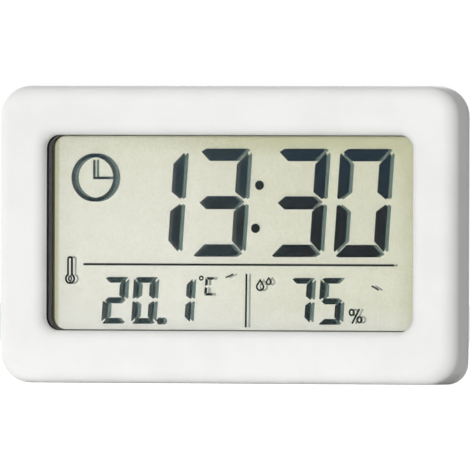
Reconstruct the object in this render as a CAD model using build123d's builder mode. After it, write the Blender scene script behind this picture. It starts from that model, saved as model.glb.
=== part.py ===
from build123d import *
import os
from math import cos, radians, sin

# Table clock that also shows the temperature and the humidity on one liquid crystal display.
# X runs to the right of someone who reads it, Y from the face to the back, Z up.
# The origin is the middle of the base, half way through the depth. All sizes are in millimetres.
os.makedirs("parts", exist_ok=True)

# The window and the face around it
window_width = 76.5
window_height = 38.2
window_corner = 2.7
window_round = 2.2  # radius that rolls the face into the window
face_beside = 9.1
face_above = 9.6
face_below = 10.2
face_thickness = 3.4

# The outline and walls of the case
case_corner = 6.0
face_round = 3.0  # radius that rolls the face into the sides
case_wall = 1.8
front_case_depth = 8.0
lip_clearance = 0.1
lip_wall = 1.0
lip_height = 1.2
seam_step = 0.15  # the back cover stands this far inside the front case, so that the seam shows
seam_edge = 0.25  # the front case's rear edge is cut off by this much, which makes the seam a groove
cover_rim = 1.3
cover_edge_inset = 1.9
cover_edge = 0.5
cover_plate = 1.6

# The stack behind the window, from the face to the back
tape_thickness = 0.2
lens_thickness = 1.0
gasket_thickness = 1.85
polarizer_thickness = 0.2
glass_thickness = 0.7
reflector_thickness = 0.25
board_gap = 1.2
board_thickness = 1.0
cup_gap = 0.25
cup_floor = 0.5
contact_rise = 0.3
cell_thickness = 3.2
cell_room = 0.4
door_thickness = 1.0
door_sink = 0.15

# Small distances that several pieces share
overrun = 1.0  # how far a cutter runs past the face that it opens
seat_gap = 0.1  # between pieces that lie in each other and do not move
screw_radius = 0.95
screw_hole_gap = 0.05
boss_radius = 1.9
boss_gap = 0.2

case_width = window_width + 2 * face_beside
case_height = window_height + face_above + face_below
mid_z = case_height / 2
window_z = face_below + window_height / 2
inner_width = case_width - 2 * case_wall
inner_height = case_height - 2 * case_wall
inner_corner = case_corner - case_wall

display_depth = polarizer_thickness + 2 * glass_thickness + reflector_thickness
front_stack = face_thickness + tape_thickness + lens_thickness + gasket_thickness + display_depth
cell_stack = cup_gap + cup_floor + contact_rise + cell_thickness + cell_room + door_thickness + door_sink
case_depth = front_stack + cell_stack

# Depths, from the face to the back
face_y = -case_depth / 2
face_back_y = face_y + face_thickness
lens_y = face_back_y + tape_thickness
gasket_y = lens_y + lens_thickness
polarizer_y = gasket_y + gasket_thickness
front_glass_y = polarizer_y + polarizer_thickness
rear_glass_y = front_glass_y + glass_thickness
reflector_y = rear_glass_y + glass_thickness
display_back_y = reflector_y + reflector_thickness
board_y = display_back_y + board_gap
board_back_y = board_y + board_thickness
parting_y = face_y + front_case_depth
back_y = case_depth / 2
plate_y = back_y - cover_plate


def upright(y):
    """A plane at depth y, seen from the front: its x runs right and its y runs up. It faces the reader."""
    return Plane.XZ.offset(-y)


def ring_sector(inner_radius, outer_radius, start, arc):
    """A sector of a flat ring round the origin, between two radii, from an angle start over an angle arc."""
    with BuildSketch(mode=Mode.PRIVATE) as sector:
        with BuildLine():
            outer = CenterArc((0, 0), outer_radius, start, arc)
            inner = CenterArc((0, 0), inner_radius, start, arc)
            Line(outer @ 0, inner @ 0)
            Line(outer @ 1, inner @ 1)
        make_face()
    return sector.sketch


# Front case: one white moulding with the rounded face, the window, the sides and the screw bosses
lens_margin = 2.0
lens_width = window_width + 2 * lens_margin
lens_height = window_height + 2 * lens_margin
lens_rib = 0.8
lens_rib_gap = 0.15
glass_margin = 1.0
glass_width = window_width + 2 * glass_margin
carrier_wall = 0.9
carrier_width = glass_width + 2 * (seat_gap + carrier_wall)
boss_x = carrier_width / 2 + boss_gap + boss_radius
case_screw_inset = 6.2
board_screw_spread = 24.0
board_screw_z = mid_z - board_screw_spread / 2
case_screws_at = [
    (x, z) for x in (-boss_x, boss_x) for z in (case_screw_inset, case_height - case_screw_inset)
]
board_screws_at = [
    (x, z) for x in (-boss_x, boss_x) for z in (board_screw_z, case_height - board_screw_z)
]
boss_web = 1.0
boss_floor = 0.8  # solid plastic left below a screw hole
case_boss_y = parting_y - seat_gap
web_y = parting_y - lip_height - boss_gap

with BuildPart() as front_case:
    with BuildSketch(upright(parting_y)):
        with Locations((0, mid_z)):
            RectangleRounded(case_width, case_height, case_corner)
    extrude(amount=front_case_depth)
    fillet(front_case.edges().group_by(Axis.Y)[0], face_round)
    chamfer(front_case.edges().group_by(Axis.Y)[-1], seam_edge)
    with BuildSketch(upright(parting_y)):
        with Locations((0, mid_z)):
            RectangleRounded(inner_width, inner_height, inner_corner)
    extrude(amount=front_case_depth - face_thickness, mode=Mode.SUBTRACT)
    with BuildSketch(upright(face_back_y)):
        with Locations((0, window_z)):
            RectangleRounded(window_width, window_height, window_corner)
    extrude(amount=face_thickness, mode=Mode.SUBTRACT)
    fillet(front_case.faces().sort_by(Axis.Y)[0].inner_wires()[0].edges(), window_round)
    with BuildSketch(upright(gasket_y)):
        with Locations((0, window_z)):
            Rectangle(
                lens_width + 2 * (lens_rib_gap + lens_rib),
                lens_height + 2 * (lens_rib_gap + lens_rib),
            )
            Rectangle(lens_width + 2 * lens_rib_gap, lens_height + 2 * lens_rib_gap, mode=Mode.SUBTRACT)
    extrude(amount=gasket_y - face_back_y)
    with BuildSketch(upright(web_y)):
        for x, z in case_screws_at + board_screws_at:
            wall_x = (inner_width + case_wall) / 2 * (1 if x > 0 else -1)
            with Locations(((x + wall_x) / 2, z)):
                Rectangle(abs(wall_x - x), boss_web)
    extrude(amount=web_y - face_back_y)
    with BuildSketch(upright(case_boss_y)):
        with Locations(*case_screws_at):
            Circle(boss_radius)
    extrude(amount=case_boss_y - face_back_y)
    with BuildSketch(upright(board_y)):
        with Locations(*board_screws_at):
            Circle(boss_radius)
    extrude(amount=board_y - face_back_y)
    with BuildSketch(upright(board_y)):
        with Locations(*case_screws_at, *board_screws_at):
            Circle(screw_radius + screw_hole_gap)
    extrude(amount=board_y - face_back_y - boss_floor, mode=Mode.SUBTRACT)

# Back cover: white moulding with the lip, the stand's recess, the cell's cup and the openings
cell_radius = 10.0
cell_gap = 0.25
cup_wall = 1.25
cup_side_gap = 0.4
door_margin = 0.35
skirt_wall = 1.0
door_gap = 0.2
lug_reach = 1.0
lug_thickness = 0.85
lug_play = 0.05
groove_room = 0.15
lug_count = 3
lug_arc = 20.0
lug_end_gap = 3.0  # degrees of room at each end of a lug in its notch
door_turn = 40.0
lug_start = 75.0
ring_wall = 1.0
contact_width = 5.0
contact_sheet = 0.2
contact_gap = 0.15
well_radius = cell_radius + cell_gap
cup_radius = well_radius + cup_wall
door_radius = well_radius + door_margin + skirt_wall
groove_radius = door_radius + lug_reach + door_gap
ring_radius = groove_radius + ring_wall
cell_x = cup_radius + cup_side_gap - glass_width / 2 - seat_gap
cell_z = mid_z
door_y = back_y - door_sink - door_thickness
ledge_y = door_y - lug_play
lug_y = ledge_y - lug_play - lug_thickness
groove_y = lug_y - groove_room
ring_y = groove_y - ring_wall
cup_floor_y = display_back_y + cup_gap
well_y = cup_floor_y + cup_floor
cell_y = well_y + contact_rise
notch_start = lug_start - door_turn - lug_end_gap
notch_arc = lug_arc + 2 * lug_end_gap

stand_web = 2.4  # plastic between the stand's recess and the groove of the cell's door
stand_thickness = 1.8
stand_sink = 0.1
stand_side_gap = 0.3
stand_floor_gap = 0.2
stand_hinge_drop = 20.0  # from the top of the case
stand_foot_z = 2.2
stand_limit = 36.0  # degrees, where the heel meets the recess's floor
stand_width = 2 * (-cell_x - groove_radius - stand_web - stand_side_gap)
stand_hinge_z = case_height - stand_hinge_drop
barrel_bulge = 0.15
barrel_radius = stand_thickness / 2 + barrel_bulge
barrel_y = back_y - stand_sink - barrel_radius
pin_radius = 0.7
pin_length = 1.4
pin_gap = 0.08
pin_end_gap = 0.2
recess_wall = 1.0
recess_width = stand_width + 2 * stand_side_gap
recess_floor_y = back_y - stand_sink - stand_thickness - stand_floor_gap
barrel_floor_y = barrel_y - barrel_radius - stand_floor_gap
heel_half = 0.5
heel_play = 0.03
heel_width = 10.0
heel_reach = (barrel_y - barrel_floor_y - heel_play - heel_half * cos(radians(stand_limit))) / sin(
    radians(stand_limit)
)
recess_top_z = stand_hinge_z + heel_reach + stand_side_gap
scoop_radius = 5.0
scoop_depth = 1.2
scoop_rise = 8.0  # from the foot of the stand to the middle of the finger scoop
socket_block = 2.6

keyhole_radius = 3.0
keyhole_slot = 1.6
keyhole_rise = 5.0
keyhole_drop = 13.5  # from the top of the case
keyhole_wall = 0.6
keyhole_room = 1.2
keyhole_z = case_height - keyhole_drop
keyhole_block = keyhole_radius + keyhole_room + keyhole_wall
keyhole_floor_y = board_back_y + seat_gap

column_inset = 17.5  # from the side of the case to the column that the vents and buttons stand in
column_x = case_width / 2 - column_inset
button_radius = 3.0
button_gap = 0.2
button_drop = 4.5  # from the middle of the case to the upper button
button_pitch = 10.0
buttons_z = {"set": mid_z - button_drop, "adjust": mid_z - button_drop - button_pitch}

vent_count = 4
vent_length = 16.0
vent_width = 1.2
vent_pitch = 2.4
vent_drop = 17.0  # from the top of the case
vent_z = case_height - vent_drop

screw_head_radius = 1.6
screw_head_height = 1.2
screw_head_gap = 0.2
head_sink = 0.2  # a case screw's head lies this far below the back
head_seat_y = back_y - head_sink - screw_head_height

cover_depth = back_y - parting_y
cavity_width = inner_width - 2 * (lip_clearance + lip_wall)
cavity_height = inner_height - 2 * (lip_clearance + lip_wall)
cavity_corner = inner_corner - lip_clearance - lip_wall


def cover_outline(y, inset):
    """The back cover's outline at depth y: flush with the case at the base, and inside it elsewhere."""
    with BuildSketch(upright(y)) as outline:
        with Locations((0, (case_height - inset) / 2)):
            RectangleRounded(case_width - 2 * inset, case_height - inset, case_corner - inset)
    return outline.sketch


with BuildPart() as back_cover:
    rim_outline = cover_outline(parting_y + cover_rim, seam_step)
    extrude(rim_outline, amount=cover_rim)
    loft([rim_outline, cover_outline(back_y, cover_edge_inset)], ruled=True)
    chamfer(back_cover.edges().group_by(Axis.Y)[-1], cover_edge)
    with BuildSketch(upright(parting_y)):
        with Locations((0, mid_z)):
            RectangleRounded(
                inner_width - 2 * lip_clearance,
                inner_height - 2 * lip_clearance,
                inner_corner - lip_clearance,
            )
    extrude(amount=lip_height)
    with BuildSketch(upright(plate_y)):
        with Locations((0, mid_z)):
            RectangleRounded(cavity_width, cavity_height, cavity_corner)
    extrude(amount=plate_y - parting_y + lip_height, mode=Mode.SUBTRACT)

    # Blocks that stand on the inside of the plate
    with BuildSketch(upright(plate_y)):
        with Locations((0, (recess_top_z + recess_wall) / 2)):
            Rectangle(recess_width + 2 * recess_wall, recess_top_z + recess_wall - 2 * case_wall)
    extrude(amount=plate_y - recess_floor_y + recess_wall)
    with BuildSketch(upright(plate_y)):
        with Locations((0, stand_hinge_z)):
            Rectangle(recess_width + 2 * socket_block, 2 * (recess_top_z - stand_hinge_z + recess_wall))
    extrude(amount=plate_y - barrel_floor_y + recess_wall)
    with BuildSketch(upright(plate_y)):
        with Locations((cell_x, cell_z)):
            Circle(ring_radius)
    extrude(amount=plate_y - ring_y)
    with BuildSketch(upright(plate_y)):
        with Locations((cell_x, cell_z)):
            Circle(cup_radius)
    extrude(amount=plate_y - cup_floor_y)
    with BuildSketch(upright(plate_y)):
        with Locations((0, keyhole_z + keyhole_rise / 2)):
            Rectangle(2 * keyhole_block, keyhole_rise + 2 * keyhole_block)
    extrude(amount=plate_y - keyhole_floor_y)
    with BuildSketch(upright(plate_y)):
        with Locations(*case_screws_at):
            Circle(boss_radius)
    extrude(amount=plate_y - parting_y)

    # Recess and sockets of the stand
    with BuildSketch(upright(back_y + overrun)):
        with Locations((0, (recess_top_z - overrun) / 2)):
            Rectangle(recess_width, recess_top_z + overrun)
    extrude(amount=back_y + overrun - recess_floor_y, mode=Mode.SUBTRACT)
    with BuildSketch(upright(back_y)):
        with Locations((0, stand_hinge_z)):
            Rectangle(recess_width, 2 * (recess_top_z - stand_hinge_z))
    extrude(amount=back_y - barrel_floor_y, mode=Mode.SUBTRACT)
    with BuildSketch(Plane.YZ.offset(-recess_width / 2 - pin_length - pin_end_gap + stand_side_gap)):
        with Locations((barrel_y, stand_hinge_z)):
            Circle(pin_radius + pin_gap)
    extrude(amount=recess_width + 2 * (pin_length + pin_end_gap - stand_side_gap), mode=Mode.SUBTRACT)
    with BuildSketch(upright(back_y + overrun)):
        with Locations((recess_width / 2, stand_foot_z + scoop_rise)):
            Circle(scoop_radius)
    extrude(amount=scoop_depth + overrun, mode=Mode.SUBTRACT)

    # Cup of the cell, with the groove and the notches that the door's lugs turn in
    with BuildSketch(upright(back_y + overrun)):
        with Locations((cell_x, cell_z)):
            Circle(door_radius + door_gap)
    extrude(amount=back_y + overrun - ledge_y, mode=Mode.SUBTRACT)
    with BuildSketch(upright(ledge_y)):
        with Locations((cell_x, cell_z)):
            Circle(groove_radius)
    extrude(amount=ledge_y - groove_y, mode=Mode.SUBTRACT)
    with BuildSketch(upright(groove_y)):
        with Locations((cell_x, cell_z)):
            Circle(well_radius)
    extrude(amount=groove_y - well_y, mode=Mode.SUBTRACT)
    with BuildSketch(upright(back_y + overrun)):
        with Locations((cell_x, cell_z)):
            with PolarLocations(0, lug_count):
                add(ring_sector(door_radius, groove_radius, notch_start, notch_arc))
    extrude(amount=back_y + overrun - ledge_y, mode=Mode.SUBTRACT)

    # Slots in the cup's wall for the two contacts
    with BuildSketch(upright(ring_y)):
        with Locations((cell_x + cup_radius - cup_wall / 2, cell_z)):
            Rectangle(2 * cup_wall, contact_width + 2 * contact_gap)
    extrude(amount=ring_y - well_y, mode=Mode.SUBTRACT)
    with BuildSketch(upright(cell_y)):
        with Locations((cell_x, cell_z - cup_radius + cup_wall / 2)):
            Rectangle(contact_width + 2 * contact_gap, 2 * cup_wall)
    extrude(amount=cell_y - well_y, mode=Mode.SUBTRACT)

    # Keyhole, buttons, vents and screws
    with BuildSketch(upright(plate_y)):
        with Locations((0, keyhole_z + keyhole_rise / 2)):
            Rectangle(2 * (keyhole_radius + keyhole_room), keyhole_rise + 2 * (keyhole_radius + keyhole_room))
    extrude(amount=plate_y - keyhole_floor_y - keyhole_wall, mode=Mode.SUBTRACT)
    with BuildSketch(upright(back_y + overrun)):
        with Locations((0, keyhole_z)):
            Circle(keyhole_radius)
        with Locations((0, keyhole_z + keyhole_rise / 2)):
            SlotCenterToCenter(keyhole_rise, 2 * keyhole_slot, rotation=90)
    extrude(amount=cover_plate + overrun, mode=Mode.SUBTRACT)
    with BuildSketch(upright(back_y + overrun)):
        with Locations(*[(column_x, z) for z in buttons_z.values()]):
            Circle(button_radius + button_gap)
        with Locations((column_x, vent_z)):
            with GridLocations(vent_length, vent_pitch, 1, vent_count):
                Rectangle(vent_length, vent_width)
    extrude(amount=cover_plate + overrun, mode=Mode.SUBTRACT)
    with BuildSketch(upright(back_y + overrun)):
        with Locations(*case_screws_at):
            Circle(screw_radius + screw_hole_gap)
    extrude(amount=cover_depth + overrun, mode=Mode.SUBTRACT)
    with BuildSketch(upright(back_y + overrun)):
        with Locations(*case_screws_at):
            Circle(screw_head_radius + screw_head_gap)
    extrude(amount=back_y + overrun - head_seat_y, mode=Mode.SUBTRACT)

# Window lens, and the black tape that glues it behind the face
with BuildPart() as window_lens:
    with BuildSketch(upright(gasket_y)):
        with Locations((0, window_z)):
            Rectangle(lens_width, lens_height)
    extrude(amount=lens_thickness)

with BuildPart() as lens_tape:
    with BuildSketch(upright(lens_y)):
        with Locations((0, window_z)):
            Rectangle(lens_width, lens_height)
            RectangleRounded(window_width, window_height, window_corner, mode=Mode.SUBTRACT)
    extrude(amount=tape_thickness)

# Foam ring that keeps dust out between the lens and the display
gasket_height = window_height + 2 * glass_margin

with BuildPart() as dust_gasket:
    with BuildSketch(upright(polarizer_y)):
        with Locations((0, window_z)):
            Rectangle(glass_width, gasket_height)
            RectangleRounded(window_width, window_height, window_corner, mode=Mode.SUBTRACT)
    extrude(amount=gasket_thickness)

# Display: two sheets of glass with the liquid crystal between them, a polarizer and a reflector
ledge_height = 1.7  # strip of the front glass that carries the contacts, above and below the rear glass
film_inset = 0.3
rear_glass_height = window_height + 2 * glass_margin
front_glass_height = rear_glass_height + 2 * ledge_height

with BuildPart() as front_polarizer:
    with BuildSketch(upright(front_glass_y)):
        with Locations((0, window_z)):
            Rectangle(glass_width - 2 * film_inset, rear_glass_height - 2 * film_inset)
    extrude(amount=polarizer_thickness)

with BuildPart() as front_glass:
    with BuildSketch(upright(rear_glass_y)):
        with Locations((0, window_z)):
            Rectangle(glass_width, front_glass_height)
    extrude(amount=glass_thickness)

with BuildPart() as rear_glass:
    with BuildSketch(upright(reflector_y)):
        with Locations((0, window_z)):
            Rectangle(glass_width, rear_glass_height)
    extrude(amount=glass_thickness)

with BuildPart() as reflector:
    with BuildSketch(upright(display_back_y)):
        with Locations((0, window_z)):
            Rectangle(glass_width - 2 * film_inset, rear_glass_height - 2 * film_inset)
    extrude(amount=reflector_thickness)

# Carrier: the plastic frame that squares the display up on the board
carrier_height = front_glass_height + 2 * (seat_gap + carrier_wall)

with BuildPart() as display_carrier:
    with BuildSketch(upright(board_y)):
        with Locations((0, window_z)):
            Rectangle(carrier_width, carrier_height)
            Rectangle(glass_width + 2 * seat_gap, front_glass_height + 2 * seat_gap, mode=Mode.SUBTRACT)
    extrude(amount=board_y - polarizer_y)

# Rubber connectors, striped with carbon, that join the glass ledges to the board
zebra_width = 1.2
zebra_length_share = 0.9
zebra_z = (rear_glass_height + ledge_height) / 2
zebras = {}

for side, name in ((1, "upper_zebra_strip"), (-1, "lower_zebra_strip")):
    with BuildPart() as zebra:
        with BuildSketch(upright(board_y)):
            with Locations((0, window_z + side * zebra_z)):
                Rectangle(zebra_length_share * glass_width, zebra_width)
        extrude(amount=board_y - rear_glass_y)
    zebras[name] = zebra

# Main board, with side ears for its screws and a round opening for the cell's cup
board_edge_gap = 0.2
board_width = cavity_width - 2 * board_edge_gap
board_height = cavity_height - 2 * board_edge_gap
board_waist = 2 * (boss_x - boss_radius - boss_gap)
ear_height = case_height - 2 * (case_screw_inset + boss_radius + boss_gap)
cup_hole_gap = 0.5

with BuildPart() as main_board:
    with BuildSketch(upright(board_back_y)):
        with Locations((0, mid_z)):
            Rectangle(board_waist, board_height)
            Rectangle(board_width, ear_height)
        with Locations((cell_x, cell_z)):
            Circle(cup_radius + cup_hole_gap, mode=Mode.SUBTRACT)
        with Locations(*board_screws_at):
            Circle(screw_radius + screw_hole_gap, mode=Mode.SUBTRACT)
    extrude(amount=board_thickness)

# Parts on the back of the board
sensor_width = 5.0
sensor_x = column_x - vent_length / 4
blob_x = (keyhole_block + sensor_x - sensor_width / 2) / 2
blob_z = keyhole_z + keyhole_rise / 2
blob_radius = 4.0
blob_top_radius = 2.4
blob_height = 0.9

with BuildPart() as chip_cover:
    with BuildSketch(upright(board_back_y)):
        with Locations((blob_x, blob_z)):
            Circle(blob_radius)
    with BuildSketch(upright(board_back_y + blob_height)):
        with Locations((blob_x, blob_z)):
            Circle(blob_top_radius)
    loft()

crystal_radius = 1.0
crystal_length = 6.0
crystal_edge = 0.2
crystal_from_buttons = 8.0
crystal_rise = 3.5  # from the foot of the board
crystal_x = column_x - crystal_from_buttons
crystal_z = mid_z - board_height / 2 + crystal_rise

with BuildPart() as timing_crystal:
    with BuildSketch(Plane.YZ.offset(crystal_x - crystal_length / 2)):
        with Locations((board_back_y + crystal_radius, crystal_z)):
            Circle(crystal_radius)
    extrude(amount=crystal_length)
    chamfer(timing_crystal.edges().group_by(Axis.X)[-1], crystal_edge)

sensor_height = 4.0
sensor_thickness = 0.7
sensor_stand_off = 0.4
sensor_leg = 0.5

with BuildPart() as humidity_sensor:
    with BuildSketch(upright(board_back_y + sensor_stand_off + sensor_thickness)):
        with Locations((sensor_x, vent_z)):
            Rectangle(sensor_width, sensor_height)
    extrude(amount=sensor_thickness)
    with BuildSketch(upright(board_back_y + sensor_stand_off)):
        with Locations((sensor_x, vent_z)):
            with GridLocations(sensor_width - 2 * sensor_leg, sensor_height - 2 * sensor_leg, 2, 2):
                Rectangle(sensor_leg, sensor_leg)
    extrude(amount=sensor_stand_off)

bead_radius = 0.7
bead_leg = 0.2
bead_rise = 0.9
bead_leg_spread = 1.0
bead_edge = 0.3
bead_x = column_x + vent_length / 4

with BuildPart() as temperature_sensor:
    with BuildSketch(upright(board_back_y + bead_rise)):
        with Locations((bead_x, vent_z)):
            with GridLocations(bead_leg_spread, bead_leg_spread, 2, 1):
                Rectangle(bead_leg, bead_leg)
    extrude(amount=bead_rise)
    with BuildSketch(upright(board_back_y + bead_rise + bead_radius)):
        with Locations((bead_x, vent_z)):
            Circle(bead_radius)
    extrude(amount=bead_radius)
    chamfer(temperature_sensor.edges().group_by(Axis.Y)[-1], bead_edge)

chip_length = 1.6
chip_width = 0.8
chip_height = 0.5
chips_pitch = 3.0
chips_from_screw = 5.0
chips_in = 2.4
chips_count = 3
chips_x = boss_x - chips_in
chips_z = board_screw_z + chips_from_screw

with BuildPart() as board_chips:
    with BuildSketch(upright(board_back_y + chip_height)):
        with Locations((chips_x, chips_z)):
            with GridLocations(chips_pitch, chips_pitch, 1, chips_count):
                Rectangle(chip_length, chip_width)
    extrude(amount=chip_height)

# Coin cell: a can with a smaller cap on the side that faces the display
cap_radius = 8.6
cap_height = 0.35
can_edge = 0.35

with BuildPart() as coin_cell:
    with BuildSketch(upright(cell_y + cell_thickness)):
        with Locations((cell_x, cell_z)):
            Circle(cell_radius)
    extrude(amount=cell_thickness - cap_height)
    chamfer(coin_cell.edges().group_by(Axis.Y)[-1], can_edge)
    with BuildSketch(upright(cell_y + cap_height)):
        with Locations((cell_x, cell_z)):
            Circle(cap_radius)
    extrude(amount=cap_height)

# Contacts: bent nickel strips. One lies under the cell, one presses on its side
contact_tab = 1.0
negative_reach = 4.0
negative_pip = 1.5

strip_top = cell_z + negative_reach
strip_foot = cell_z - cup_radius - cup_hole_gap - contact_tab
blade_x = cell_x + cell_radius + cell_gap / 2
foot_end = cell_x + cup_radius + cup_hole_gap + 2 * contact_tab

with BuildPart() as negative_contact:
    with BuildSketch(upright(well_y + contact_sheet)):
        with Locations((cell_x, (strip_top + strip_foot) / 2)):
            Rectangle(contact_width, strip_top - strip_foot)
    extrude(amount=contact_sheet)
    with BuildSketch(upright(cell_y)):
        with Locations((cell_x, cell_z)):
            Circle(negative_pip)
    extrude(amount=cell_y - well_y - contact_sheet)
    with BuildSketch(upright(board_y)):
        with Locations((cell_x, strip_foot + contact_tab / 2)):
            Rectangle(contact_width, contact_tab)
    extrude(amount=board_y - well_y - contact_sheet)

with BuildPart() as positive_contact:
    with BuildSketch(upright(board_back_y + contact_sheet)):
        with Locations(((blade_x + foot_end) / 2, cell_z)):
            Rectangle(foot_end - blade_x, contact_width)
    extrude(amount=contact_sheet)
    with BuildSketch(upright(board_back_y)):
        with Locations((blade_x + contact_sheet / 2, cell_z)):
            Rectangle(contact_sheet, contact_width)
    extrude(amount=board_back_y - cell_y - cap_height)

# Cell door: a disc with a coin slot, a skirt, and lugs that turn under the cover's ledge
slot_length = 12.0
slot_width = 1.6
slot_depth = 0.55

with BuildPart() as cell_door:
    with BuildSketch(upright(back_y - door_sink)):
        with Locations((cell_x, cell_z)):
            Circle(door_radius)
    extrude(amount=door_thickness)
    with BuildSketch(upright(door_y)):
        with Locations((cell_x, cell_z)):
            Circle(door_radius)
            Circle(door_radius - skirt_wall, mode=Mode.SUBTRACT)
    extrude(amount=door_y - lug_y)
    with BuildSketch(upright(lug_y + lug_thickness)):
        with Locations((cell_x, cell_z)):
            with PolarLocations(0, lug_count):
                add(ring_sector(door_radius - skirt_wall, door_radius + lug_reach, lug_start, lug_arc))
    extrude(amount=lug_thickness)
    with BuildSketch(upright(back_y - door_sink)):
        with Locations((cell_x, cell_z)):
            SlotOverall(slot_length, slot_width)
    extrude(amount=slot_depth, mode=Mode.SUBTRACT)

# Stand: a plate on two trunnions, with grip grooves at its foot and a heel that stops it
foot_corner = 4.0
groove_count = 3
grip_length = stand_width / 2
grip_width = 0.9
grip_pitch = 2.2
grip_depth = 0.4
grip_rise = 5.5  # from the foot to the middle groove
stand_edge = 0.3
plate_back_y = back_y - stand_sink

with BuildPart() as stand:
    with BuildSketch(upright(plate_back_y)):
        with Locations((0, (stand_foot_z + stand_hinge_z) / 2)):
            Rectangle(stand_width, stand_hinge_z - stand_foot_z)
        fillet(vertices().group_by(Axis.Y)[0], foot_corner)
    extrude(amount=stand_thickness)
    chamfer(stand.faces().sort_by(Axis.Y)[-1].edges().group_by(Axis.Z)[:-1], stand_edge)
    with BuildSketch(Plane.YZ.offset(-stand_width / 2)):
        with Locations((barrel_y, stand_hinge_z)):
            Circle(barrel_radius)
    extrude(amount=stand_width)
    with BuildSketch(Plane.YZ.offset(-stand_width / 2 - pin_length)):
        with Locations((barrel_y, stand_hinge_z)):
            Circle(pin_radius)
    extrude(amount=stand_width + 2 * pin_length)
    with BuildSketch(upright(barrel_y + heel_half)):
        with Locations((0, stand_hinge_z + heel_reach / 2)):
            Rectangle(heel_width, heel_reach)
    extrude(amount=2 * heel_half)
    with BuildSketch(upright(plate_back_y)):
        with Locations((0, stand_foot_z + grip_rise)):
            with GridLocations(grip_length, grip_pitch, 1, groove_count):
                SlotOverall(grip_length, grip_width)
    extrude(amount=grip_depth, mode=Mode.SUBTRACT)

# Screws: four through the back cover into the front case, four through the board
screw_tip = 1.2
case_screw_length = head_seat_y - face_back_y - boss_floor - screw_tip
board_screw_length = board_back_y - face_back_y - boss_floor - screw_tip


def pan_head_screws(places, seat_y, length):
    """Pan head screws, their heads resting at depth seat_y."""
    with BuildPart() as screws:
        with BuildSketch(upright(seat_y + screw_head_height)):
            with Locations(*places):
                Circle(screw_head_radius)
        extrude(amount=screw_head_height)
        with BuildSketch(upright(seat_y)):
            with Locations(*places):
                Circle(screw_radius)
        extrude(amount=length)
    return screws


case_screws = pan_head_screws(case_screws_at, head_seat_y, case_screw_length)
board_screws = pan_head_screws(board_screws_at, board_back_y, board_screw_length)

# Buttons: a cap in the back cover over a push switch on the board, with the switch's plunger between
button_sink = 0.2
button_flange = 0.6
button_flange_thickness = 0.45
button_flange_gap = 0.05
button_edge = 0.3
nub_radius = 1.0
nub_gap = 0.02
switch_width = 4.5
switch_height = 0.8
plunger_radius = 0.9
plunger_gap = 0.05
plunger_rise = 0.35
button_travel = 0.25
plunger_room = 0.2
switch_top_y = board_back_y + switch_height
plunger_top_y = switch_top_y + plunger_rise
flange_back_y = plate_y - button_flange_gap
flange_y = flange_back_y - button_flange_thickness
buttons = {}

for name, z in buttons_z.items():
    with BuildPart() as cap:
        with BuildSketch(upright(back_y - button_sink)):
            with Locations((column_x, z)):
                Circle(button_radius)
        extrude(amount=back_y - button_sink - flange_y)
        chamfer(cap.edges().group_by(Axis.Y)[-1], button_edge)
        with BuildSketch(upright(flange_back_y)):
            with Locations((column_x, z)):
                Circle(button_radius + button_flange)
        extrude(amount=button_flange_thickness)
        with BuildSketch(upright(flange_y)):
            with Locations((column_x, z)):
                Circle(nub_radius)
        extrude(amount=flange_y - plunger_top_y - nub_gap)
    buttons[name + "_button"] = cap

    with BuildPart() as switch:
        with BuildSketch(upright(switch_top_y)):
            with Locations((column_x, z)):
                Rectangle(switch_width, switch_width)
        extrude(amount=switch_height)
        with BuildSketch(upright(switch_top_y)):
            with Locations((column_x, z)):
                Circle(plunger_radius + plunger_gap)
        extrude(amount=button_travel + plunger_room, mode=Mode.SUBTRACT)
    buttons[name + "_switch"] = switch

    with BuildPart() as plunger:
        with BuildSketch(upright(plunger_top_y)):
            with Locations((column_x, z)):
                Circle(plunger_radius)
        extrude(amount=plunger_rise + plunger_room - plunger_gap)
    buttons[name + "_plunger"] = plunger

pieces = {
    "front_case": front_case,
    "back_cover": back_cover,
    "window_lens": window_lens,
    "lens_tape": lens_tape,
    "dust_gasket": dust_gasket,
    "front_polarizer": front_polarizer,
    "front_glass": front_glass,
    "rear_glass": rear_glass,
    "reflector": reflector,
    "display_carrier": display_carrier,
    "main_board": main_board,
    "chip_cover": chip_cover,
    "timing_crystal": timing_crystal,
    "humidity_sensor": humidity_sensor,
    "temperature_sensor": temperature_sensor,
    "board_chips": board_chips,
    "coin_cell": coin_cell,
    "negative_contact": negative_contact,
    "positive_contact": positive_contact,
    "cell_door": cell_door,
    "stand": stand,
    "case_screws": case_screws,
    "board_screws": board_screws,
    **zebras,
    **buttons,
}
for name, piece in pieces.items():
    piece.part.label = name
    export_step(piece.part, f"parts/{name}.step")
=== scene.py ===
from math import acos, asin, cos, degrees, pi, radians, sin

import bmesh
import bpy
from mathutils import Matrix, Vector


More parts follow.
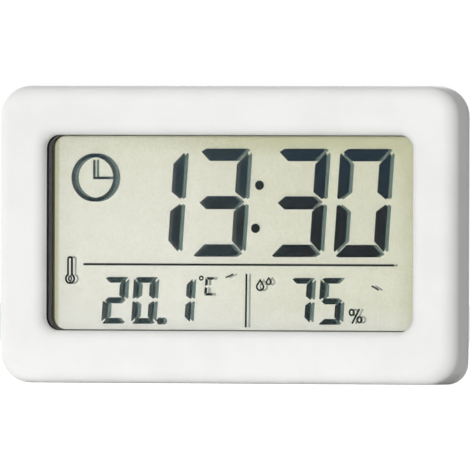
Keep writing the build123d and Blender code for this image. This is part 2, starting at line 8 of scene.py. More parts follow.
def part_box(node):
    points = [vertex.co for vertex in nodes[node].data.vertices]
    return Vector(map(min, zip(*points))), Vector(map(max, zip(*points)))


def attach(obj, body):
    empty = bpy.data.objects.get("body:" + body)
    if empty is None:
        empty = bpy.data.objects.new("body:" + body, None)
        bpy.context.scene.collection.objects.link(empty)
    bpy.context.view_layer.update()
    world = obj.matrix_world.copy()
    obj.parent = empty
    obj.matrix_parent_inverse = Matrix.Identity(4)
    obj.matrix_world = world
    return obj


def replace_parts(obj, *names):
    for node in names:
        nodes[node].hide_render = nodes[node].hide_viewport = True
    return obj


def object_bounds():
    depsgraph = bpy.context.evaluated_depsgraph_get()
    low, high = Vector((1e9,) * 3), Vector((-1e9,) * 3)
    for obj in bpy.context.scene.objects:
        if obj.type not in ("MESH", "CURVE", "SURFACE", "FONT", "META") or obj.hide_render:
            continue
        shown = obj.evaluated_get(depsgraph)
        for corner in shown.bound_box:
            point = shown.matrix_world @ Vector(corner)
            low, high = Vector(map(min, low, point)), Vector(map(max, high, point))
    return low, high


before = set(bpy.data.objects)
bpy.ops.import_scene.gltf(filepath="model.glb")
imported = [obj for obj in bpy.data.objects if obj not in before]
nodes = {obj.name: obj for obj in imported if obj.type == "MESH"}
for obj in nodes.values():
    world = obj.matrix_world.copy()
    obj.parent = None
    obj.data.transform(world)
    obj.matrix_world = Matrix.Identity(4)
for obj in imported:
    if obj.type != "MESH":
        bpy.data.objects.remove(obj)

MM = 0.001  # every size below is in millimetres, and Blender works in metres
cad_low, cad_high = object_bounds()

# Front case. One moulding in white ABS, with the rounded face, the window and the sides. Its outside
# has the fine satin grain of a spark-eroded mould, and faint clouds where the melt flowed.


class Wire:
    """An output of a shader node. Arithmetic on it adds Math nodes to the same tree."""

    def __init__(self, graph, socket):
        self.graph = graph
        self.socket = socket

    def maths(self, operation, first, second=0.0):
        return self.graph.node("ShaderNodeMath", {"operation": operation}, {0: first, 1: second})

    def __add__(self, other):
        return self.maths("ADD", self, other)

    def __radd__(self, other):
        return self.maths("ADD", other, self)

    def __sub__(self, other):
        return self.maths("SUBTRACT", self, other)

    def __rsub__(self, other):
        return self.maths("SUBTRACT", other, self)

    def __mul__(self, other):
        return self.maths("MULTIPLY", self, other)

    def __rmul__(self, other):
        return self.maths("MULTIPLY", other, self)

    def __truediv__(self, other):
        return self.maths("DIVIDE", self, other)

    def __pow__(self, other):
        return self.maths("POWER", self, other)

    def above(self, level):
        """1 where the value is above the level, and 0 elsewhere."""
        return self.maths("GREATER_THAN", self, level)

    def at_least(self, level):
        return self.maths("MAXIMUM", self, level)

    def at_most(self, level):
        return self.maths("MINIMUM", self, level)

    def unsigned(self):
        return self.maths("ABSOLUTE", self)

    def ramp(self, low, high):
        """Rises smoothly from 0 at low to 1 at high."""
        return self.graph.node(
            "ShaderNodeMapRange",
            {"interpolation_type": "SMOOTHSTEP"},
            {"Value": self, "From Min": low, "From Max": high},
        )


class Graph:
    """A shader's node tree."""

    def __init__(self, tree):
        self.tree = tree

    def feed(self, socket, value):
        """Links a wire to a socket, or sets a plain value on it."""
        if isinstance(value, Wire):
            self.tree.links.new(value.socket, socket)
        else:
            socket.default_value = value

    def node(self, kind, settings, sockets, output=0):
        """Adds a node, with its settings first and then its sockets, and returns one output."""
        made = self.tree.nodes.new(kind)
        for name, value in settings.items():
            setattr(made, name, value)
        for name, value in sockets.items():
            self.feed(made.inputs[name], value)
        return Wire(self, made.outputs[output])

    def place(self):
        """The point on the piece, in metres, in the shared frame."""
        return self.node("ShaderNodeTexCoord", {}, {}, "Object")

    def axis(self, name):
        """One coordinate of that point, in millimetres."""
        return self.node("ShaderNodeSeparateXYZ", {}, {0: self.place()}, name) / MM

    def noise(self, size, detail=2.0, vector=None):
        """Cloudy noise from 0 to 1 whose features are about the given size in millimetres."""
        return self.node(
            "ShaderNodeTexNoise",
            {},
            {"Vector": vector or self.place(), "Scale": 1 / (size * MM), "Detail": detail},
        )

    def mix(self, first, second, share):
        """A colour between two others."""
        return self.node("ShaderNodeMix", {"data_type": "RGBA"}, {0: share, 6: first, 7: second}, 2)

    def bump(self, height, depth, strength=1.0):
        """A normal from a height map whose full range is the given depth in millimetres."""
        return self.node("ShaderNodeBump", {}, {"Height": height, "Distance": depth * MM, "Strength": strength})


class Finish(Graph):
    """A material with one Principled shader."""

    def __init__(self, name, **constants):
        self.material = bpy.data.materials.new(name)
        self.material.use_nodes = True
        super().__init__(self.material.node_tree)
        self.shader = self.tree.nodes["Principled BSDF"]
        for socket, value in constants.items():
            self.give(socket.replace("_", " "), value)

    def give(self, socket, value):
        self.feed(self.shader.inputs[socket], value)


def screen(red, green, blue):
    """A colour as it looks on a screen, from 0 to 255, in the linear form that shaders take."""
    return tuple(((c / 255 + 0.055) / 1.055) ** 2.4 for c in (red, green, blue)) + (1.0,)


def moulded(name, light, dark, grain=0.22, roughness=0.6):
    """Moulded plastic with a satin spark-eroded grain, between two close colours."""
    finish = Finish(name, IOR=1.53, Specular_IOR_Level=0.25)
    clouds = finish.noise(9.0, 3.0)
    pits = finish.noise(grain, 2.0)
    finish.give("Base Color", finish.mix(dark, light, clouds.ramp(0.3, 0.7)))
    finish.give("Roughness", roughness + 0.12 * (pits - 0.5))
    finish.give("Normal", finish.bump(pits, 0.01, 0.35))
    return finish.material


def dress(material, *names):
    """Gives CAD nodes their finish."""
    for name in names:
        slots = nodes[name].data.materials
        slots.clear()
        slots.append(material)


white_abs = moulded("satin_white_abs", screen(240, 240, 239), screen(236, 236, 235))
dress(white_abs, "front_case")

# Window lens. A sheet of clear acrylic with an anti-glare coat, which reflects little straight on and
# more at a glancing angle. It lies behind the face on black tape that glues it round its edge.

clear_acrylic = Finish("clear_coated_acrylic", Metallic=1.0, IOR=1.49)
coat = clear_acrylic.node("ShaderNodeFresnel", {}, {"IOR": 1.2})
hairs = clear_acrylic.noise(0.9, 4.0)
clear_acrylic.give("Base Color", screen(248, 250, 248))
clear_acrylic.give("Roughness", 0.03 + 0.03 * hairs)
clear_acrylic.give("Alpha", 0.002 + 0.35 * coat)
dress(clear_acrylic.material, "window_lens")

black_tape = Finish("black_acrylic_tape", IOR=1.47)
weave = black_tape.noise(0.15, 2.0)
black_tape.give("Base Color", black_tape.mix(screen(30, 30, 32), screen(46, 46, 48), weave))
black_tape.give("Roughness", 0.55 + 0.2 * weave)
dress(black_tape.material, "lens_tape")

# Dust gasket. A ring cut from dark grey closed-cell foam, pressed between the lens and the display.
# Its cut wall is the dark band at the side of the window.

foam = Finish("closed_cell_foam", IOR=1.45)
cells = foam.node(
    "ShaderNodeTexVoronoi", {}, {"Vector": foam.place(), "Scale": 1 / (0.18 * MM)}, "Distance"
)
foam_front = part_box("dust_gasket")[0].y / MM
shaded_front = 1 - foam.axis("Y").above(foam_front + 0.05)  # painted shade: the front of the ring, in shade behind the tape, is black
cut_wall = foam.mix(screen(76, 74, 80), screen(104, 102, 107), cells.ramp(0.1, 0.6))
foam.give("Base Color", foam.mix(cut_wall, screen(20, 20, 22), shaded_front))
foam.give("Roughness", 0.8 + 0.15 * cells)
foam.give("Normal", foam.bump(cells, 0.03, 0.5))
dress(foam.material, "dust_gasket")

# Display. Two flat sheets of glass with the liquid crystal between them. A polarizer is glued on the
# front, and behind the glass lies a reflector film, whose grain and cream colour show through.

display_glass = Finish("display_glass", IOR=1.52)
edge = display_glass.node("ShaderNodeLayerWeight", {}, {"Blend": 0.35}, "Facing")
ground = display_glass.noise(0.4, 2.0)
display_glass.give("Base Color", display_glass.mix(screen(60, 92, 80), screen(78, 112, 98), ground))
display_glass.give("Roughness", 0.06 + 0.05 * ground)
display_glass.give("Alpha", 0.003 + 0.5 * edge ** 6.0)
dress(display_glass.material, "front_glass", "rear_glass")

polarizer = Finish("polarizer_film", IOR=1.5)
streaks = polarizer.noise(0.5, 3.0)
polarizer.give("Base Color", polarizer.mix(screen(52, 56, 44), screen(64, 68, 54), streaks))
polarizer.give("Roughness", 0.3 + 0.1 * streaks)
aslant = polarizer.node("ShaderNodeLayerWeight", {}, {"Blend": 0.5}, "Facing").ramp(0.25, 0.8)
polarizer.give("Alpha", 0.008 + 0.006 * streaks + 0.8 * aslant)
dress(polarizer.material, "front_polarizer")

window_low, window_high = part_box("reflector")
window_left, window_right = window_low.x / MM, window_high.x / MM
window_foot, window_head = window_low.z / MM, window_high.z / MM
cream = screen(255, 255, 244)
olive_cream = screen(211, 212, 174)
reflector_film = Finish("pearl_reflector_film", IOR=1.5)
x_place = reflector_film.axis("X")
z_place = reflector_film.axis("Z")
across = (x_place - window_left) / (window_right - window_left)
upward = (z_place - window_foot) / (window_head - window_foot)

# The film is cream at the left foot and deepens to olive upwards and to the right, with painted shade at three
# edges
upward_share, across_share, middle_share, painted_foot_light_share, edge_share = 0.35, 0.22, 0.17, 0.3, 0.36
grain_share, mottle_share, offset = 0.6, 0.2, -0.18
# Painted shade along the window's top and right edges, where the lips shade the film
edge_shade = across.ramp(0.9, 0.98) + upward.ramp(0.86, 0.97) * (0.1 + 0.9 * across.ramp(0.1, 0.5))
# Painted shadow of the gasket's wall along the window's left edge
side_shade = 1 - x_place.ramp(-38.1, -37.0)
gradient_and_foot_light = upward_share * upward * upward + across_share * across * across
# With the offset, the foot term paints light along the window's foot, against the shade that the lower lip
# casts on the film
gradient_and_foot_light = gradient_and_foot_light + middle_share * across.ramp(0.3, 0.65) + painted_foot_light_share * upward.ramp(0.02, 0.16)
colour_and_painted_shade = gradient_and_foot_light + edge_share * edge_shade + side_shade + offset
pearl = reflector_film.noise(0.28, 1.0)
mottle = reflector_film.noise(3.0, 3.0)
tone = colour_and_painted_shade + grain_share * (pearl - 0.5) + mottle_share * (mottle - 0.5)
film_tone = reflector_film.mix(cream, olive_cream, tone.at_most(1.0))

# A painted dark olive shadow on the film round the crystal. It shows where the view slips past the window's
# edge into the shade of the lips and the gasket. Its outline is a rounded rectangle, and it is fainter at the
# right.
shadow_line_left, shadow_line_right, shadow_line_foot, shadow_line_head = -38.22, 36.15, 10.45, 48.2
shadow_line_round = 2.3
shadow_line_strength_right = 0.45
shadow_line_tone = screen(88, 85, 64)
from_middle = z_place - (shadow_line_head + shadow_line_foot) / 2
past_left = shadow_line_left + shadow_line_round - x_place
past_level = from_middle.unsigned() - ((shadow_line_head - shadow_line_foot) / 2 - shadow_line_round)
past_left = past_left.at_least(0.0)
past_level = past_level.at_least(0.0)
past_corner = (past_left * past_left + past_level * past_level) ** 0.5
# Painted shadow: dark outside the rounded rectangle, and fainter past the right edge
painted_edge_shadow = past_corner.ramp(shadow_line_round - 0.05, shadow_line_round + 0.1) + shadow_line_strength_right * x_place.above(shadow_line_right)
reflector_film.give("Base Color", reflector_film.mix(film_tone, shadow_line_tone, painted_edge_shadow.at_most(1.0)))
reflector_film.give("Roughness", 0.5 + 0.2 * (pearl - 0.5))
dress(reflector_film.material, "reflector")

# Marks of the display. Where the crystal between the two glasses is switched on, it turns dark. These
# are the digits, the dial, the icons with the rules, and the dots, as thin plates. The first three
# groups have a second set of plates, for the shadow that they cast on the film.

marks = digits = bmesh.new()  # what is drawn next goes into marks
circle_sides = 48  # of a round mark
slant = 0.068  # the digits lean to the right by this much of their height
artwork_middle = -0.56  # the artwork's own middle lies this far to the left of the clock's
artwork_rise = 0.0033  # the display sits a little askew, so that the artwork rises to the right


def patch(points):
    """A flat mark inside an outline in millimetres, x to the right and z up."""
    corners = [
        marks.verts.new(((artwork_middle + x) * MM, 0, (z + artwork_rise * x) * MM)) for x, z in points
    ]
    face = marks.faces.new(corners)
    face.normal_update()
    return face


def outline(points, stroke):
    """A closed line of even width just inside an outline."""
    inside = patch(points)
    bmesh.ops.inset_region(
        marks, faces=[inside], thickness=stroke * MM, use_boundary=True, use_even_offset=True
    )
    bmesh.ops.delete(marks, geom=[inside], context="FACES")


def arc(x, z, radius, start, end, steps, tall=1.0):
    """Points on an arc between two angles in degrees, stretched upwards by a factor."""
    angles = [radians(start + (end - start) * i / steps) for i in range(steps + 1)]
    return [(x + radius * cos(a), z + tall * radius * sin(a)) for a in angles]


def disc(x, z, radius, tall=1.0):
    return arc(x, z, radius, 0, 360 - 360 / circle_sides, circle_sides - 1, tall)


def bar(x0, z0, x1, z1, width):
    """A straight line of even width between two points."""
    along = Vector((x1 - x0, z1 - z0)).normalized() * width / 2
    side = Vector((-along.y, along.x))
    patch([(x0 + side.x, z0 + side.y), (x0 - side.x, z0 - side.y),
           (x1 - side.x, z1 - side.y), (x1 + side.x, z1 + side.y)])


def digit(shown, left, foot, width, height, rail, side, gap):
    """The lit ones of the seven strokes of a digit. rail is the thickness of the level strokes and side
    the width of the upright ones. The ends are mitred and the outer corners cut, by shares of both."""
    middle = height / 2
    joint = middle + 0.09 * rail  # where the upper and the lower upright strokes meet
    level_cut, level_half, level_reach = 0.42 * side, 0.53 * rail, 0.62 * rail
    top = [(gap + 0.18 * side, height - 0.25 * rail), (gap + 0.18 * side + 0.42 * rail, height),
           (width - gap - 0.33 * side, height), (width - gap - 0.1 * side, height - 0.11 * rail),
           (width - gap - side, height - rail), (gap + side, height - rail)]
    upper_left = [(0, height - 0.48 * rail), (0.1 * side, height - 0.33 * rail),
                  (side, height - 1.25 * rail), (side, joint + 0.78 * rail),
                  (0.2 * side, joint + 0.2 * rail), (0, joint + 0.33 * rail)]
    lower_left = [(0, joint - 0.33 * rail), (0.2 * side, joint - 0.2 * rail),
                  (side, joint - 0.78 * rail), (side, 1.29 * rail),
                  (0.1 * side, 0.42 * rail), (0, 0.56 * rail)]
    level = [(level_cut, middle), (level_cut + level_reach, middle + level_half),
             (width - level_cut - level_reach, middle + level_half), (width - level_cut, joint),
             (width - level_cut - level_reach, middle - level_half),
             (level_cut + level_reach, middle - level_half)]
    strokes = {"a": top, "d": [(width - x, height - z) for x, z in top], "f": upper_left, "e": lower_left,
               "g": level, "b": [(width - x, z) for x, z in upper_left],
               "c": [(width - x, z) for x, z in lower_left]}
    for name in shown:
        patch([(left + x + slant * z, foot + z) for x, z in strokes[name]])


lit = {"0": "abcdef", "1": "bc", "2": "abged", "3": "abgcd", "5": "afgcd", "7": "abc"}
clock_digit = {"width": 10.54, "height": 21.1, "rail": 2.42, "side": 2.32, "gap": 0.25}
small_digit = {"width": 4.55, "height": 9.12, "rail": 1.13, "side": 1.19, "gap": 0.13}
time_shown = (("1", -22.25, 24.73), ("3", -9.06, 24.71), ("3", 7.16, 24.65), ("0", 20.39, 24.6))
warmth_shown = (("2", -27.74, 11.63), ("0", -21.53, 11.61), ("1", -13.82, 11.59))
humidity_shown = (("7", 11.02, 11.47), ("5", 17.19, 11.48))
for figure, left, foot in time_shown:
    digit(lit[figure], left, foot, **clock_digit)
for figure, left, foot in warmth_shown + humidity_shown:
    digit(lit[figure], left, foot, **small_digit)
patch(disc(-15.48, 12.15, 0.7))  # the point before the last figure of the temperature

# Clock icon, with its two hands
marks = dial = bmesh.new()
dial_x, dial_z, dial_radius, dial_stroke = -29.29, 40.17, 4.72, 0.75
outline(disc(dial_x, dial_z, dial_radius), dial_stroke)
hand_left, hand_right, hand_foot, hand_top, hand_width = -29.5, -26.03, 39.84, 43.64, 0.52
patch([(hand_left, hand_top), (hand_left, hand_foot), (hand_right, hand_foot),
       (hand_right, hand_foot + hand_width), (hand_left + hand_width, hand_foot + hand_width),
       (hand_left + hand_width, hand_top)])

# Rules between the fields
marks = icons = bmesh.new()
bar(-31.45, 23.24, 32.98, 23.04, 0.42)
bar(2.45, 21.37, 2.33, 10.95, 0.4)

# Thermometer icon: a tube with a bulb
tube_x, tube_top, tube_radius, bulb_z, bulb_radius, tube_stroke = -34.25, 24.84, 0.62, 20.42, 1.07, 0.4
shoulder = 90 - degrees(asin(tube_radius / bulb_radius))
outline(
    arc(tube_x, tube_top - tube_radius, tube_radius, 0, 180, 10)
    + arc(tube_x, bulb_z, bulb_radius, 180 - shoulder, 360 + shoulder, 26),
    tube_stroke,
)

# A C of four strokes
unit_left, unit_foot, unit_width, unit_height, unit_stroke = -6.35, 17.13, 2.1, 3.6, 0.51
unit_strokes = (
    [(0.5, unit_height), (unit_width, unit_height), (unit_width - 0.25, unit_height - unit_stroke),
     (0.75, unit_height - unit_stroke)],
    [(0.3, unit_height - 0.12), (0.3 + unit_stroke, 3.0), (0.25 + unit_stroke, 2.1), (0.18, 1.9)],
    [(0.15, 1.7), (0.15 + unit_stroke, 1.5), (0.1 + unit_stroke, 0.6), (0, 0.15)],
    [(0.15, 0), (0.5, unit_stroke), (unit_width - 0.5, unit_stroke), (unit_width - 0.3, 0)],
)
for stroke in unit_strokes:
    patch([(unit_left + x, unit_foot + z) for x, z in stroke])

# Two short slanted ticks
bar(-1.88, 20.63, -0.28, 21.31, 0.3)
bar(28.37, 19.05, 29.83, 18.24, 0.32)


def drop(x, foot, apex, radius, stroke):
    """The outline of a drop of water."""
    middle = foot + radius
    turn = 90 - degrees(acos(radius / (apex - middle)))
    outline(arc(x, middle, radius, 180 - turn, 360 + turn, 28) + [(x, apex)], stroke)


drop(5.29, 17.99, 20.47, 0.88, 0.36)
drop(7.07, 19.16, 20.84, 0.62, 0.32)

# Per cent sign: two rings and a stroke
for x, z in ((24.27, 13.88), (25.86, 12.47)):
    outline(disc(x, z, 0.66, 1.12), 0.38)
bar(24.35, 11.72, 25.85, 14.58, 0.4)

# The colon, the degree sign and the bead in the thermometer's bulb, which show no shadow
marks = dots = bmesh.new()
colon_radius = 0.92
for x, z in ((5.09, 38.64), (4.28, 30.25)):
    patch(disc(x, z, colon_radius))
outline(disc(-6.93, 20.53, 0.5), 0.3)
outline(disc(tube_x, bulb_z, 0.46, 1.25), 0.26)

mark_thickness = 0.02
shadow_shift = 0.51  # how far to the right the marks' shadow falls on the film
low_gloss = 0.12
dark_ink = Finish("switched_crystal", IOR=1.5, Specular_IOR_Level=low_gloss)
height = dark_ink.axis("Z")
uneven = dark_ink.noise(4.0, 2.0)
big_ink = dark_ink.mix(screen(4, 12, 17), screen(6, 34, 48), height.ramp(33.0, 41.0))
ink = dark_ink.mix(screen(24, 40, 40), big_ink, height.ramp(22.5, 26.0))
thin = 1 - dark_ink.axis("X").ramp(0.0, 16.0)  # the crystal is darkest at the right
faded = (0.1 + 0.45 * thin) * uneven.ramp(0.25, 0.65)
dark_ink.give("Base Color", dark_ink.mix(ink, screen(28, 50, 58), faded))
dark_ink.give("Roughness", 0.45 + 0.2 * uneven)
dark_ink.give("Alpha", 0.92 - 0.03 * uneven - 0.19 * thin)  # of one face, and a mark has two

icon_ink = Finish("switched_crystal_of_icons", IOR=1.5, Specular_IOR_Level=low_gloss)
patchy = icon_ink.noise(3.0, 2.0)
icon_ink.give("Base Color", icon_ink.mix(screen(14, 22, 20), screen(28, 38, 36), patchy))
icon_ink.give("Roughness", 0.45 + 0.2 * patchy)
icon_ink.give("Alpha", 0.99 - 0.02 * patchy)


def shadow_ink(name, strength):
    """The tint of the marks' shadow on the film."""
    ink = Finish(name, IOR=1.5, Specular_IOR_Level=low_gloss)
    veil = ink.noise(0.3, 2.0)
    ink.give("Base Color", ink.mix(screen(80, 108, 106), screen(96, 124, 122), veil))
    ink.give("Roughness", 0.6 + 0.2 * veil)
    ink.give("Alpha", strength * (0.95 + 0.1 * veil))
    return ink.material


def finished(shape, name, material, body):
    """Turns a shape into a piece of the object that rides on a body."""
    mesh = bpy.data.meshes.new(name)
    bmesh.ops.recalc_face_normals(shape, faces=shape.faces)
    shape.to_mesh(mesh)
    shape.free()
    mesh.materials.append(material)
    piece = bpy.data.objects.new(name, mesh)
    bpy.context.scene.collection.objects.link(piece)
    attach(piece, body)
    return piece


def plate(shape, name, material, shift, front):
    """A copy of the flat marks as thin plates, moved to the right, whose face lies at a given depth."""
    copy = shape.copy()
    grown = bmesh.ops.extrude_face_region(copy, geom=copy.faces[:])["geom"]
    top = [part for part in grown if isinstance(part, bmesh.types.BMVert)]
    bmesh.ops.translate(copy, verts=top, vec=(0, mark_thickness * MM, 0))
    bmesh.ops.translate(copy, verts=copy.verts, vec=(shift * MM, front, 0))
    piece = finished(copy, name, material, "clock")
    piece.visible_shadow = False
    return piece


between_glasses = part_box("rear_glass")[0].y
film_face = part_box("reflector")[0].y
mark_depth = between_glasses - mark_thickness / 2 * MM
shadow_depth = film_face - 2 * mark_thickness * MM
plate(digits, "display_digits", dark_ink.material, 0.0, mark_depth)
plate(dial, "display_dial", dark_ink.material, 0.0, mark_depth)
plate(icons, "display_icons", icon_ink.material, 0.0, mark_depth)
plate(dots, "display_dots", icon_ink.material, 0.0, mark_depth)
broad_shadow = shadow_ink("shadow_of_digits", 0.62)
plate(digits, "digit_shadow", broad_shadow, shadow_shift, shadow_depth)
plate(dial, "dial_shadow", broad_shadow, shadow_shift, shadow_depth)
plate(icons, "icon_shadow", shadow_ink("shadow_of_icons", 0.3), shadow_shift, shadow_depth)
for shape in (digits, dial, icons, dots):
    shape.free()

# Carrier and connectors. A white frame squares the display up on the board, and two strips of
# silicone, striped with carbon, lead the current from the board to the ledges of the front glass.

carrier_white = moulded("plain_white_moulding", screen(226, 226, 222), screen(220, 220, 216), 0.4, 0.5)
dress(carrier_white, "display_carrier")

zebra = Finish("striped_silicone", IOR=1.41)
stripes = zebra.node(
    "ShaderNodeTexWave", {"bands_direction": "X"}, {"Vector": zebra.place(), "Scale": 1 / (0.63 * MM)}, "Fac"
)
zebra.give("Base Color", zebra.mix(screen(28, 28, 30), screen(176, 178, 182), stripes.above(0.5)))
zebra.give("Roughness", 0.6 + 0.15 * stripes)
dress(zebra.material, "upper_zebra_strip", "lower_zebra_strip")

# Main board. Glass fibre with green solder mask over copper tracks, which shine through it a shade
# lighter. The clock chip is bonded to it under a drop of black resin.

solder_mask = Finish("green_solder_mask", IOR=1.55)
tracks = solder_mask.node(
    "ShaderNodeTexBrick",
    {"offset": 0.5},
    {"Vector": solder_mask.place(), "Scale": 1 / (6.0 * MM), "Mortar Size": 0.035, "Color1": screen(16, 88, 44),
     "Color2": screen(18, 80, 42), "Mortar": screen(52, 138, 84)},
)
fibre = solder_mask.noise(0.35, 3.0)
solder_mask.give("Base Color", solder_mask.mix(tracks, screen(12, 66, 34), 0.3 * fibre))
solder_mask.give("Roughness", 0.3 + 0.1 * fibre)
solder_mask.give("Normal", solder_mask.bump(fibre, 0.01, 0.3))
dress(solder_mask.material, "main_board")

resin = Finish("black_potting_resin", IOR=1.56)
flow = resin.noise(1.2, 2.0)
resin.give("Base Color", resin.mix(screen(12, 12, 14), screen(24, 24, 26), flow))
resin.give("Roughness", 0.22 + 0.1 * flow)
resin.give("Normal", resin.bump(flow, 0.04, 0.4))
dress(resin.material, "chip_cover")

# Parts on the board: the crystal in its drawn can, the humidity sensor in its white body, the bead
# that feels the temperature, and three small ceramic chips.


def metal(name, light, dark, roughness, brushed=(1.0, 1.0, 1.0), size=0.2):
    """Bare metal with fine working marks, which brushed stretches along an axis."""
    finish = Finish(name, Metallic=1.0)
    stretched = finish.node("ShaderNodeMapping", {}, {"Vector": finish.place(), "Scale": brushed})
    lines = finish.noise(size, 4.0, stretched)
    finish.give("Base Color", finish.mix(dark, light, lines))
    finish.give("Roughness", roughness + 0.15 * (lines - 0.5))
    finish.give("Normal", finish.bump(lines, 0.004, 0.4))
    return finish.material


can_steel = metal("drawn_steel_can", screen(206, 206, 204), screen(178, 178, 176), 0.25, (0.1, 1, 1))
dress(can_steel, "timing_crystal")
sensor_white = moulded("sensor_body", screen(232, 232, 228), screen(222, 222, 218), 0.15, 0.5)
dress(sensor_white, "humidity_sensor")

bead = Finish("epoxy_bead", IOR=1.55)
skin = bead.noise(0.3, 2.0)
bead.give("Base Color", bead.mix(screen(20, 20, 22), screen(34, 32, 32), skin))
bead.give("Roughness", 0.25 + 0.15 * skin)
dress(bead.material, "temperature_sensor")

ceramic = Finish("ceramic_chip", IOR=1.6)
chip_low, chip_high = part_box("board_chips")
chip_middle = (chip_low.x + chip_high.x) / 2 / MM
bare_half = 0.5  # half of a chip's length between its tinned ends
end_band = (ceramic.axis("X") - chip_middle).unsigned().above(bare_half)
ceramic.give("Base Color", ceramic.mix(screen(112, 88, 62), screen(200, 200, 196), end_band))
ceramic.give("Metallic", end_band)
ceramic.give("Roughness", 0.45 - 0.15 * end_band)
dress(ceramic.material, "board_chips")

# Coin cell and contacts. A lithium cell of 20 by 3.2 mm in nickel-plated steel lies in the cover's cup.
# One sprung strip bears on its cap and one presses on its side.

cell_steel = metal("plated_cell_steel", screen(214, 213, 209), screen(188, 187, 183), 0.28, (1, 1, 0.12), 0.15)
dress(cell_steel, "coin_cell")
contact_nickel = metal("nickel_strip", screen(204, 201, 190), screen(176, 172, 160), 0.3, (1, 1, 0.15), 0.12)
dress(contact_nickel, "positive_contact", "negative_contact")

# Back cover and cell door. Both are moulded in the same white ABS as the face. The door is a disc with
# a skirt and three lugs, which a coin turns.

dress(white_abs, "back_cover", "cell_door")

# Stand. A flat leg moulded in white ABS, with grooves at its foot. It is snapped into the cover on its
# two trunnions and folds flush into its bed.

dress(white_abs, "stand")

# Screws. Zinc-plated pan heads with a cross recess, four through the back cover and four through the
# board, both cut into the front case's bosses.

zinc = metal("zinc_plated_steel", screen(186, 187, 190), screen(150, 151, 155), 0.3, (1, 1, 1), 0.3)
head_radius, head_height, shank_radius, tip_radius, tip_length = 1.6, 1.2, 0.95, 0.35, 1.2
crown_radius = 1.1
head_rounding = ((head_radius, 0.45), (1.52, 0.75), (1.35, 1.0))  # radius, and height above the seat
screw_sides = 32
recess_reach, recess_width, recess_depth = 0.85, 0.34, 0.7


def ring(shape, points):
    """Corners joined in a closed loop of edges."""
    corners = [shape.verts.new((x * MM, y * MM, z * MM)) for x, y, z in points]
    return corners, [shape.edges.new((a, b)) for a, b in zip(corners, corners[1:] + corners[:1])]


def wall(shape, first, second):
    """Faces between two loops of as many corners."""
    count = len(first)
    for i in range(count):
        shape.faces.new((first[i], first[(i + 1) % count], second[(i + 1) % count], second[i]))


def cross(x, y, z, reach, width):
    """The outline of a cross, in a plane that faces the back."""
    half = width / 2
    quarter = [(half, half), (half, reach), (-half, reach)]
    points = []
    for turn in range(4):
        points += [(x + a, y, z + b) for a, b in quarter]
        quarter = [(-b, a) for a, b in quarter]
    return points


def cross_head_screws(node, name):
    """Pan head screws with a cross recess, where the frame has a node's four plain ones."""
    low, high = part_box(node)
    tip, top = low.y / MM, high.y / MM
    seat = top - head_height
    profile = [(tip_radius, tip), (shank_radius, tip + tip_length), (shank_radius, seat), (head_radius, seat)]
    profile += [(radius, seat + rise) for radius, rise in head_rounding] + [(crown_radius, top)]
    shape = bmesh.new()
    for x in (low.x / MM + head_radius, high.x / MM - head_radius):
        for z in (low.z / MM + head_radius, high.z / MM - head_radius):
            turns = [2 * pi * i / screw_sides for i in range(screw_sides)]
            loops = [ring(shape, [(x + r * cos(a), y, z + r * sin(a)) for a in turns]) for r, y in profile]
            for (first, _), (second, _) in zip(loops, loops[1:]):
                wall(shape, first, second)
            shape.faces.new(loops[0][0])
            mouth, mouth_edges = ring(shape, cross(x, top, z, recess_reach, recess_width))
            pit, _ = ring(shape, cross(x, top - recess_depth, z, 0.6 * recess_reach, 0.7 * recess_width))
            wall(shape, mouth, pit)
            shape.faces.new(pit)
            bmesh.ops.triangle_fill(shape, use_beauty=True, edges=loops[-1][1] + mouth_edges)
    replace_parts(finished(shape, name, zinc, "clock"), node)


cross_head_screws("case_screws", "cover_cross_screws")
cross_head_screws("board_screws", "board_cross_screws")

# Buttons and switches. Light grey caps slide in the back cover. Each lies on the black plunger of a
# push switch on the board, in a stamped steel frame.

button_grey = moulded("satin_grey_abs", screen(194, 196, 197), screen(188, 190, 191))
dress(button_grey, "set_button", "adjust_button")
switch_steel = metal("stamped_steel", screen(196, 196, 196), screen(168, 168, 168), 0.35, (1, 1, 0.3))
dress(switch_steel, "set_switch", "adjust_switch")
plunger_black = moulded("black_nylon", screen(44, 44, 46), screen(34, 34, 36), 0.3, 0.5)
dress(plunger_black, "set_plunger", "adjust_plunger")

# Floor. A plain pale floor, which the camera sees as white wherever nothing shades it, and which keeps
# the clock's shadow.

floor_reach = 3000.0
floor_colour = screen(246, 246, 245)
floor_lift = 0.62  # light that only the camera and reflections see, so that the floor reads as white
plain_white = (1.0, 1.0, 1.0, 1.0)
floor_finish = Finish("plain_floor", Roughness=0.9)


def seen_directly(graph):
    """1 for the camera's rays, reflections and rays through glass, and 0 for the rest."""
    camera_ray, glossy_ray, through_ray = (
        graph.node("ShaderNodeLightPath", {}, {}, name)
        for name in ("Is Camera Ray", "Is Glossy Ray", "Is Transmission Ray")
    )
    return camera_ray.at_least(glossy_ray).at_least(through_ray)


dust = floor_finish.noise(40.0, 2.0)
floor_finish.give("Base Color", floor_finish.mix(floor_colour, screen(243, 243, 242), dust))
floor_finish.give("Emission Color", plain_white)
floor_finish.give("Emission Strength", floor_lift * seen_directly(floor_finish))
floor_shape = bmesh.new()
bmesh.ops.create_grid(floor_shape, x_segments=4, y_segments=4, size=floor_reach * MM)
floor_mesh = bpy.data.meshes.new("floor")
floor_shape.to_mesh(floor_mesh)
floor_shape.free()
floor_mesh.materials.append(floor_finish.material)
floor = bpy.data.objects.new("floor", floor_mesh)
bpy.context.scene.collection.objects.link(floor)

# World and lamps. A dim even surround, which looks white to the camera, a soft lamp in front of the
# clock, one above it, one behind it and two at its left, so that its right side is in shade.

surround_light = 0.13
world = bpy.data.worlds.new("studio")
bpy.context.scene.world = world
world.use_nodes = True
surround = Graph(world.node_tree)
background = world.node_tree.nodes["Background"]
surround.feed(background.inputs["Color"], plain_white)
surround.feed(background.inputs["Strength"], surround_light + (1 - surround_light) * seen_directly(surround))


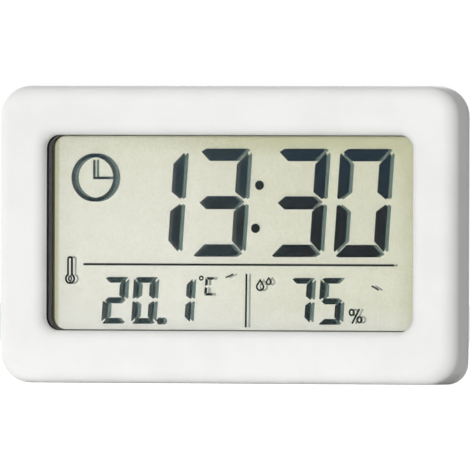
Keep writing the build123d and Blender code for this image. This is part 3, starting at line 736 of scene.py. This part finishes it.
def away(azimuth, elevation):
    """The direction away from the clock at two angles in degrees. Azimuth 0 is straight in front."""
    return Vector((
        sin(radians(azimuth)) * cos(radians(elevation)),
        -cos(radians(azimuth)) * cos(radians(elevation)),
        sin(radians(elevation)),
    ))


def lamp(name, azimuth, elevation, distance, size, power):
    """A square soft lamp that shines on the middle of the clock."""
    data = bpy.data.lights.new(name, "AREA")
    data.shape = "SQUARE"
    data.size = size * MM
    data.energy = power
    from_clock = away(azimuth, elevation)
    made = bpy.data.objects.new(name, data)
    made.location = (cad_low + cad_high) / 2 + from_clock * distance * MM
    made.rotation_euler = from_clock.to_track_quat("Z", "Y").to_euler()
    bpy.context.scene.collection.objects.link(made)


lamp("key_lamp", 9.0, 0.5, 1500.0, 350.0, 21.8)
lamp("top_lamp", 0.0, 76.0, 1200.0, 500.0, 2.5)
lamp("left_lamp", -102.0, 5.0, 1200.0, 500.0, 5.2)
lamp("near_left_lamp", -72.0, 5.0, 1200.0, 500.0, 2.9)
lamp("back_lamp", -158.0, 20.0, 1200.0, 400.0, 4.0)

# Camera. It stands 4.4 m away and 20 degrees to the right, level with the clock, with a long lens, as the
# photograph's straight edges and narrow side wall show. The picture is 470 pixels square.

picture_width = 470
pixels_per_mm = 5.13
camera_azimuth = 20.0
camera_elevation = 0.1
camera_distance = 4400.0
camera_roll = 0.18
target = Vector((-0.36, -0.13, 28.95))
camera_data = bpy.data.cameras.new("camera")
camera_data.sensor_width = 36.0
camera_data.lens = camera_data.sensor_width * camera_distance * pixels_per_mm / picture_width
camera_data.clip_start = 0.05
camera_data.clip_end = 50.0
back = away(camera_azimuth, camera_elevation)
camera = bpy.data.objects.new("camera", camera_data)
camera.matrix_world = (
    Matrix.Translation((target + back * camera_distance) * MM)
    @ back.to_track_quat("Z", "Y").to_matrix().to_4x4()
    @ Matrix.Rotation(radians(camera_roll), 4, "Z")
)
bpy.context.scene.collection.objects.link(camera)
bpy.context.scene.camera = camera

bpy.context.scene.view_settings.view_transform = "Standard"
bpy.context.scene.cycles.transparent_max_bounces = 24
